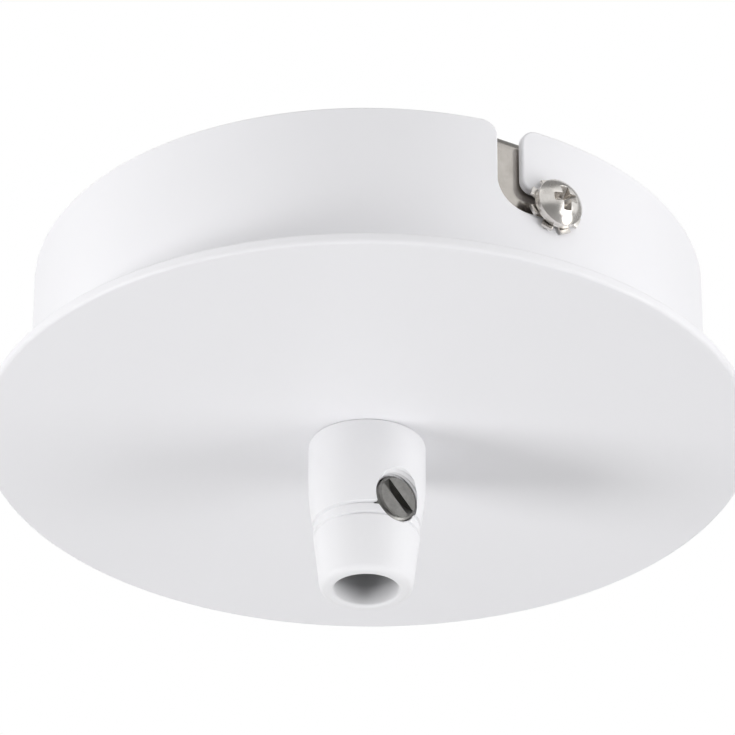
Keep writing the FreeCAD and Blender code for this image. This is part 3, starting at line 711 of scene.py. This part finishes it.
def tooth_washer_tree():
    """Rule for a lock washer: a flat ring with teeth that twist as they leave it."""
    tree, given, gives = shape_tree(
        "tooth_washer",
        [
            ("Bore Radius", 1.6 * mm), ("Ring Width", 0.85 * mm), ("Thickness", 0.45 * mm),
            ("Edge Round", 0.1 * mm), ("Tooth Length", 1.25 * mm), ("Tooth Width", 1.25 * mm),
            ("Twist", 0.47),
        ],
        [("Teeth", 8)],
    )
    # ring: a rounded oblong section carried round a circle
    half_width = put(tree, "ShaderNodeMath", operation="MULTIPLY", inputs={1: 0.5})
    mid_radius = put(tree, "ShaderNodeMath", operation="ADD")
    circle = put(tree, "GeometryNodeCurvePrimitiveCircle", inputs={"Resolution": 72})
    section = put(tree, "GeometryNodeCurvePrimitiveQuadrilateral")
    soft = put(tree, "GeometryNodeFilletCurve", mode="POLY", inputs={"Count": 3})
    ring = put(tree, "GeometryNodeCurveToMesh")
    # tooth: the same kind of section along a radial line, twisted, its tip drawn in to a round
    ring_edge = put(tree, "ShaderNodeMath", operation="ADD")
    tip = put(tree, "ShaderNodeMath", operation="ADD")
    tooth_root = put(tree, "ShaderNodeCombineXYZ")
    tooth_tip = put(tree, "ShaderNodeCombineXYZ")
    path = put(tree, "GeometryNodeCurvePrimitiveLine")
    fine = put(tree, "GeometryNodeResampleCurve", mode="COUNT", inputs={"Count": 20})
    along = put(tree, "GeometryNodeSplineParameter")
    lean = put(
        tree, "ShaderNodeMapRange", interpolation_type="SMOOTHSTEP",
        inputs={"From Min": 0.1, "From Max": 0.6, "To Min": 0.0},
    )
    tilted = put(tree, "GeometryNodeSetCurveTilt")
    near_tip = put(
        tree, "ShaderNodeMapRange", inputs={"From Min": 0.8, "From Max": 1.0, "To Min": 0.0, "To Max": 0.92}
    )
    squared = put(tree, "ShaderNodeMath", operation="POWER", inputs={1: 2.0})
    rest = put(tree, "ShaderNodeMath", operation="SUBTRACT", inputs={0: 1.0})
    swell = put(tree, "ShaderNodeMath", operation="SQRT")
    tapered = put(tree, "GeometryNodeSetCurveRadius")
    tooth_section = put(tree, "GeometryNodeCurvePrimitiveQuadrilateral")
    tooth_soft = put(tree, "GeometryNodeFilletCurve", mode="POLY", inputs={"Count": 3})
    tooth = put(tree, "GeometryNodeCurveToMesh", inputs={"Fill Caps": True})
    # teeth round the ring
    seats = put(tree, "GeometryNodeMeshLine", inputs={"Offset": (0, 0, 0)})
    which = put(tree, "GeometryNodeInputIndex")
    step = put(tree, "ShaderNodeMath", operation="DIVIDE", inputs={0: 2 * math.pi})
    heading = put(tree, "ShaderNodeMath", operation="MULTIPLY")
    turn = put(tree, "ShaderNodeCombineXYZ")
    planted = put(tree, "GeometryNodeInstanceOnPoints")
    whole = put(tree, "GeometryNodeJoinGeometry")
    real = put(tree, "GeometryNodeRealizeInstances")
    finish = put(tree, "GeometryNodeSetMaterial")
    wire(
        tree,
        (given, "Ring Width", half_width, 0), (given, "Bore Radius", mid_radius, 0),
        (half_width, 0, mid_radius, 1), (mid_radius, 0, circle, "Radius"),
        (given, "Ring Width", section, "Width"), (given, "Thickness", section, "Height"),
        (section, 0, soft, "Curve"), (given, "Edge Round", soft, "Radius"),
        (circle, 0, ring, "Curve"), (soft, 0, ring, "Profile Curve"),
        (mid_radius, 0, ring_edge, 0), (half_width, 0, ring_edge, 1), (ring_edge, 0, tip, 0),
        (given, "Tooth Length", tip, 1), (tip, 0, tooth_tip, "X"), (mid_radius, 0, tooth_root, "X"),
        (tooth_root, 0, path, "Start"), (tooth_tip, 0, path, "End"),
        (path, 0, fine, "Curve"), (along, "Factor", lean, "Value"), (given, "Twist", lean, "To Max"),
        (fine, 0, tilted, "Curve"), (lean, 0, tilted, "Tilt"),
        (along, "Factor", near_tip, "Value"), (near_tip, 0, squared, 0), (squared, 0, rest, 1),
        (rest, 0, swell, 0), (tilted, 0, tapered, "Curve"), (swell, 0, tapered, "Radius"),
        (given, "Tooth Width", tooth_section, "Width"), (given, "Thickness", tooth_section, "Height"),
        (tooth_section, 0, tooth_soft, "Curve"), (given, "Edge Round", tooth_soft, "Radius"),
        (tapered, 0, tooth, "Curve"), (tooth_soft, 0, tooth, "Profile Curve"),
        (given, "Teeth", seats, "Count"), (given, "Teeth", step, 1), (which, 0, heading, 0),
        (step, 0, heading, 1), (heading, 0, turn, "Z"), (seats, 0, planted, "Points"),
        (tooth, 0, planted, "Instance"), (turn, 0, planted, "Rotation"),
        (ring, 0, whole, 0), (planted, 0, whole, 0), (whole, 0, real, 0),
        (real, 0, finish, "Geometry"), (given, "Finish", finish, "Material"), (finish, 0, gives, "Geometry"),
    )
    return tree


tooth_washer = tooth_washer_tree()
tooth_twist = math.radians(10)
low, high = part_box("nipple_washer")
washer = grown(
    tooth_washer, "floor_washer", bore_radius=5.1 * mm, ring_width=1.7 * mm, thickness=0.7 * mm,
    edge_round=0.14 * mm, teeth=10, tooth_length=1.6 * mm, tooth_width=1.7 * mm, twist=tooth_twist,
    finish=zinc,
)
washer.transform(Matrix.Translation((0, 0, (low.z + high.z) / 2)))
placed("floor_washer", creased(washer), zinc, "canopy", "zinc_steel", "nipple_washer")
tin = metal_finish(
    "tinned_brass", bright=(0.74, 0.72, 0.67), dull=(0.58, 0.55, 0.49), smooth=0.24, rough=0.42,
    haze_scale=340.0, line_scale=1200.0, line_depth=0.006 * mm,
)
placed("solder_tag", softened("earth_tag", 0.14 * mm), tin, "canopy", "tinned_brass", "earth_tag")
placed("hexagon_nut", softened("nipple_nut", 0.16 * mm), zinc, "canopy", "zinc_steel", "nipple_nut")


# Cord grip. A white moulded nozzle screwed on the nipple: a barrel that draws in to a band between
# two fine grooves, then a cone to the rounded mouth, with a countersunk tapped hole in its side.
grip_top = disc_under
grip_white = white_finish(
    "white_nylon", light=(0.866, 0.864, 0.879), dim=(0.847, 0.845, 0.862), smooth=0.42, rough=0.5,
    peel_scale=1300.0, peel_depth=0.006 * mm,
)

# painted shade: the bore's colour is darkened to grey from the lip inwards, where little light gets in
bore_shade_colour = (0.36, 0.36, 0.37, 1)
bore_edge, bore_side = 4.3 * mm, 4.22 * mm
shade_start, shade_full = grip_top - 20.6 * mm, grip_top - 18.0 * mm
tree = grip_white.node_tree
shader = tree.nodes["Principled BSDF"]
clean = shader.inputs["Base Color"].links[0].from_node
where = put(tree, "ShaderNodeTexCoord")
flat = put(tree, "ShaderNodeVectorMath", operation="MULTIPLY", inputs={1: (1, 1, 0)})
radial = put(tree, "ShaderNodeVectorMath", operation="LENGTH")
within = put(
    tree, "ShaderNodeMapRange",
    inputs={"From Min": bore_edge, "From Max": bore_side, "To Min": 0.0, "To Max": 1.0},
)
parts = put(tree, "ShaderNodeSeparateXYZ")
depth = put(
    tree, "ShaderNodeMapRange",
    inputs={"From Min": shade_start, "From Max": shade_full, "To Min": 0.0, "To Max": 1.0},
)
inner = put(tree, "ShaderNodeMath", operation="MULTIPLY")
# mixes the painted shade into the bore's colour
bore_shaded = put(tree, "ShaderNodeMix", data_type="RGBA", inputs={7: bore_shade_colour})
wire(
    tree,
    (where, "Object", flat, 0), (flat, 0, radial, 0), (radial, "Value", within, "Value"),
    (where, "Object", parts, 0), (parts, "Z", depth, "Value"), (within, 0, inner, 0), (depth, 0, inner, 1),
    (inner, 0, bore_shaded, 0), (clean, 2, bore_shaded, 6), (bore_shaded, 2, shader, "Base Color"),
)


def grip_outline():
    """Half section of the nozzle, from the socket round the outside to the bore."""
    barrel, shoulder, band, mouth = 7.6 * mm, 6.975 * mm, 6.85 * mm, 5.925 * mm
    straight, shoulder_drop, band_height, length = 4.9 * mm, 11.55 * mm, 1.6 * mm, 21.0 * mm
    socket, waist, bore = 5.05 * mm, 4.0 * mm, 4.2 * mm
    socket_floor, bore_floor = 6.8 * mm, 14.5 * mm
    soft, bow_steps, corner_steps = 0.1 * mm, 12, 6
    sag = barrel - shoulder
    run = shoulder_drop - straight
    curve = (run**2 + sag**2) / (2 * sag)
    groove = shoulder_drop + band_height
    groove_floor = band - 0.4 * mm
    corners = [(socket, 0, soft), (barrel, 0, 0.25 * mm), (barrel, -straight, 0)]
    for part in range(1, bow_steps):
        down = run * part / bow_steps
        corners.append((barrel - curve + math.sqrt(curve**2 - down**2), -straight - down, 0))
    corners += [
        (shoulder, -shoulder_drop, 0.06 * mm), (groove_floor, -shoulder_drop - 0.25 * mm, 0.05 * mm),
        (band, -shoulder_drop - 0.5 * mm, 0.07 * mm), (band, -groove, 0.07 * mm),
        (groove_floor, -groove - 0.2 * mm, 0.05 * mm), (band, -groove - 0.4 * mm, 0.07 * mm),
        (mouth, -length, 0.95 * mm), (bore, -length, 0.35 * mm), (bore, -bore_floor, soft),
        (waist, -bore_floor, soft), (waist, -socket_floor, soft), (socket, -socket_floor, soft),
    ]
    return [Vector((p.x, p.y + grip_top)) for p in filleted(corners, corner_steps)]


grip_columns, hole_columns, hole_steps = 192, 72, 4
grip_turn = math.radians(5)
grip_screw_level = disc_under - 10.4 * mm
thread_middle = 5.4 * mm
outward = (
    Matrix.Rotation(grip_turn, 4, "Z") @ Matrix.Translation((0, 0, grip_screw_level))
    @ Matrix.Rotation(math.pi / 2, 4, "Y")
)
crest_round = 0.03 * mm
hole_outline = filleted(
    [
        (0, 0, 0), (3.175 * mm, 0, 0), (3.175 * mm, 6.4 * mm, 0.06 * mm),
        (3.52 * mm, 6.78 * mm, crest_round), (3.42 * mm, 6.88 * mm, crest_round),
        (3.82 * mm, 7.2 * mm, crest_round), (3.72 * mm, 7.3 * mm, crest_round),
        (4.1 * mm, 7.6 * mm, 0), (4.4 * mm, 9 * mm, 0), (0, 9 * mm, 0),
    ],
    hole_steps,
)
hole = turned("grip_hole", hole_outline, hole_columns)
hole.transform(outward)
hole_thread = grown(
    threaded_shank, "hole_thread", radius=3.42 * mm, ridge_depth=0.3 * mm, pitch=1.0 * mm, length=3.2 * mm,
    end_chamfer=0.3 * mm, sides=hole_columns, rows=32, finish=grip_white,
)
hole_thread.transform(outward @ Matrix.Translation((0, 0, thread_middle)))
grip = without(turned("grip_body", grip_outline(), grip_columns), hole, hole_thread)
placed("grip_nozzle", creased(grip, 30.0), grip_white, "canopy", "white_nylon", "cord_grip")


# Grip screw. A slotted grub screw of dark steel that runs in the tapped hole in the nozzle's side and
# bears on the cord. It is turned and threaded, and its slot is sawn across the outer face.
steel = metal_finish(
    "dark_steel", bright=(0.27, 0.267, 0.255), dull=(0.19, 0.186, 0.178), smooth=0.36, rough=0.5,
    haze_scale=500.0, line_scale=1500.0, line_depth=0.006 * mm,
)
grub_length = 2.7 * mm
grub_face = 6.85 * mm
grub = grown(
    threaded_shank, "grub", radius=3.125 * mm, ridge_depth=0.5 * mm, pitch=1.0 * mm, length=grub_length,
    end_chamfer=0.45 * mm, sides=72, rows=36, finish=steel,
)
# the saw is a thin wheel, so the slot's floor is curved and its ends run out inside the chamfer
saw_run, saw_depth, saw_width, saw_sides = 5.3 * mm, 1.2 * mm, 1.25 * mm, 160
saw_turn = math.radians(47.5)
saw_radius = (saw_run**2 / 4 + saw_depth**2) / (2 * saw_depth)
saw = rod("slot_saw", saw_radius, saw_width, saw_sides)
saw.transform(
    Matrix.Rotation(saw_turn, 4, "Z")
    @ Matrix.Translation((0, 0, grub_length / 2 + saw_radius - saw_depth))
    @ Matrix.Rotation(math.pi / 2, 4, "X")
)
grub = without(grub, saw)
grub.transform(outward @ Matrix.Translation((0, 0, grub_face - grub_length / 2)))
placed("grub_screw", creased(grub), steel, "grip_screw", "dark_steel", "grip_screw")


# Side screws and tooth washers. A nickel-plated pan-head screw on each side runs in a tapped collar
# of the strap; the bayonet slot slides under the washer, and the screw locks it.
screw_nickel = metal_finish(
    "screw_nickel", bright=(0.80, 0.775, 0.745), dull=(0.66, 0.63, 0.595), smooth=0.19, rough=0.3,
    haze_scale=420.0, line_scale=1500.0, line_depth=0.004 * mm,
)
# painted shade: the plating is darkened to brown in the recess and in other enclosed corners, by an occlusion
# mask
recess_shade_colour = (0.20, 0.165, 0.14, 1)
tree = screw_nickel.node_tree
shader = tree.nodes["Principled BSDF"]
plating = shader.inputs["Base Color"].links[0].from_node
# occlusion mask: the more enclosed the point, the more painted shade
hollow = put(tree, "ShaderNodeAmbientOcclusion", only_local=True, samples=8, inputs={"Distance": 0.9 * mm})
clear = put(tree, "ShaderNodeMapRange", inputs={"From Min": 0.35, "From Max": 0.85})
recess_shade_mix = put(tree, "ShaderNodeMix", data_type="RGBA", inputs={6: recess_shade_colour})
wire(
    tree,
    (hollow, "AO", clear, "Value"), (clear, 0, recess_shade_mix, 0), (plating, 2, recess_shade_mix, 7),
    (recess_shade_mix, 2, shader, "Base Color"),
)
tooth_turn = math.radians(24)
for side, turn in (("right", 0.0), ("left", math.pi)):
    node = "side_washer_" + side
    low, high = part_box(node)
    away, level = abs(low.x + high.x) / 2, (low.z + high.z) / 2
    washer = grown(
        tooth_washer, node, bore_radius=1.6 * mm, ring_width=0.85 * mm, thickness=0.45 * mm,
        edge_round=0.1 * mm, teeth=8, tooth_length=1.25 * mm, tooth_width=1.5 * mm, twist=tooth_twist,
        finish=screw_nickel,
    )
    washer.transform(
        Matrix.Rotation(turn, 4, "Z") @ Matrix.Translation((away, 0, level))
        @ Matrix.Rotation(math.pi / 2, 4, "Y") @ Matrix.Rotation(tooth_turn, 4, "Z")
    )
    placed("tooth_washer_" + side, creased(washer), screw_nickel, side + "_washer", "bright_nickel", node)
    node = "side_screw_" + side
    screw = softened(node, 0.1 * mm)
    placed("pan_screw_" + side, screw, screw_nickel, side + "_screw", "bright_nickel", node)


# Studio. The rose hangs in a plain white sweep and is seen from below. Two small keys stand low on its
# left and right, wider soft boxes fill in from all round, and a pale floor far below fades out to white.
disc_face = Vector((0, 0, disc_under))
view_side = math.radians(-31.5)
view_drop = math.radians(29.89)
view_distance = 0.6453
view_roll = math.radians(0.328)
view_lift = 10.42 * mm
up = Vector((0, 0, 1))
toward = Vector((math.cos(view_side), math.sin(view_side), 0))
right = Vector((-math.sin(view_side), math.cos(view_side), 0))
camera_place = disc_face + view_distance * (math.cos(view_drop) * toward - math.sin(view_drop) * up)
view_line = (disc_face - camera_place).normalized()
view_target = disc_face + view_lift * right.cross(view_line)
lens = bpy.data.cameras.new("view_from_below")
lens.lens = 243.5
lens.sensor_width = 36.0
lens.clip_start = 0.01
camera = set_out("view_from_below", lens)
camera.location = camera_place
aim = (view_target - camera_place).to_track_quat("-Z", "Y").to_matrix()
camera.rotation_euler = (aim @ Matrix.Rotation(view_roll, 3, "Z")).to_euler()
bpy.context.scene.camera = camera
bpy.context.scene.view_settings.view_transform = "Standard"

# each soft box stands in a direction (towards the lens, right, up) from the disc and faces it
for name, direction, distance, width, height, power in (
    ("side_right", (0.46, 0.86, -0.20), 0.8, 0.6, 0.5, 1.9),
    ("high_left", (0.1, -0.8, 0.55), 0.9, 1.4, 1.1, 3.2),
    ("high_right", (0.3, 0.75, 0.55), 0.9, 1.4, 1.1, 2.6),
    ("low_fill", (-0.2, 0.0, -0.95), 0.65, 0.9, 0.9, 0.75),
    ("front_high", (0.85, -0.1, 0.5), 0.9, 1.3, 1.0, 1.85),
    ("back_fill", (-0.9, 0.0, 0.4), 0.9, 1.2, 0.9, 1.6),
    ("key_left", (0.24, -0.88, -0.54), 0.8, 0.3, 0.3, 3.55),
    ("key_right", (0.15, 0.9, -0.46), 0.8, 0.45, 0.35, 2.0),
):
    data = bpy.data.lights.new(name, "AREA")
    data.shape = "RECTANGLE"
    data.size = width
    data.size_y = height
    data.energy = power
    light = set_out(name, data)
    way = (direction[0] * toward + direction[1] * right + direction[2] * up).normalized()
    light.location = disc_face + distance * way
    light.rotation_euler = (-way).to_track_quat("-Z", "Y").to_euler()

world = bpy.data.worlds.new("white_sweep")
world.use_nodes = True
bpy.context.scene.world = world
sky = world.node_tree
sky.nodes.clear()
seen = put(sky, "ShaderNodeLightPath")
aim_way = put(sky, "ShaderNodeTexCoord")
height = put(sky, "ShaderNodeSeparateXYZ")
dim_top = put(
    sky, "ShaderNodeMapRange", interpolation_type="SMOOTHSTEP",
    inputs={"From Min": 0.45, "From Max": 0.85, "To Min": 1.0, "To Max": 0.7},
)
glow = put(sky, "ShaderNodeBackground", inputs={"Strength": 0.414})
paper = put(sky, "ShaderNodeBackground", inputs={"Color": (1, 1, 1, 1), "Strength": 1.0})
either = put(sky, "ShaderNodeMixShader")
sky_out = put(sky, "ShaderNodeOutputWorld")
wire(
    sky,
    (aim_way, "Generated", height, 0), (height, "Z", dim_top, "Value"), (dim_top, 0, glow, "Color"),
    (seen, "Is Camera Ray", either, 0), (glow, 0, either, 1), (paper, 0, either, 2),
    (either, 0, sky_out, "Surface"),
)

floor_half = 12.0
floor_level = -1.2
floor_mesh = bpy.data.meshes.new("floor")
corners = [(x * floor_half, y * floor_half, floor_level) for x, y in ((-1, -1), (1, -1), (1, 1), (-1, 1))]
floor_mesh.from_pydata(corners, [], [(0, 1, 2, 3)])
floor = set_out("floor", floor_mesh)
floor_paint = white_finish(
    "floor_paint", light=(0.8, 0.8, 0.8), dim=(0.77, 0.77, 0.77), smooth=0.7, rough=0.85,
    peel_scale=300.0, peel_depth=0.1 * mm,
)
tree = floor_paint.node_tree
looked_at = put(tree, "ShaderNodeLightPath")
ground = put(tree, "ShaderNodeTexCoord")
reach = put(tree, "ShaderNodeVectorMath", operation="LENGTH")
fade = put(
    tree, "ShaderNodeMapRange", interpolation_type="SMOOTHSTEP",
    inputs={"From Min": 2.0, "From Max": 6.0, "To Min": 0.78, "To Max": 1.0},
)
pale = put(tree, "ShaderNodeEmission")
shown = put(tree, "ShaderNodeMixShader")
wire(
    tree,
    (ground, "Object", reach, 0), (reach, "Value", fade, "Value"), (fade, 0, pale, "Color"),
    (looked_at, "Is Camera Ray", shown, 0), (tree.nodes["Principled BSDF"], 0, shown, 1), (pale, 0, shown, 2),
    (shown, 0, tree.nodes["Material Output"], "Surface"),
)
floor_mesh.materials.append(floor_paint)
floor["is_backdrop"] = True

low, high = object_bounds()
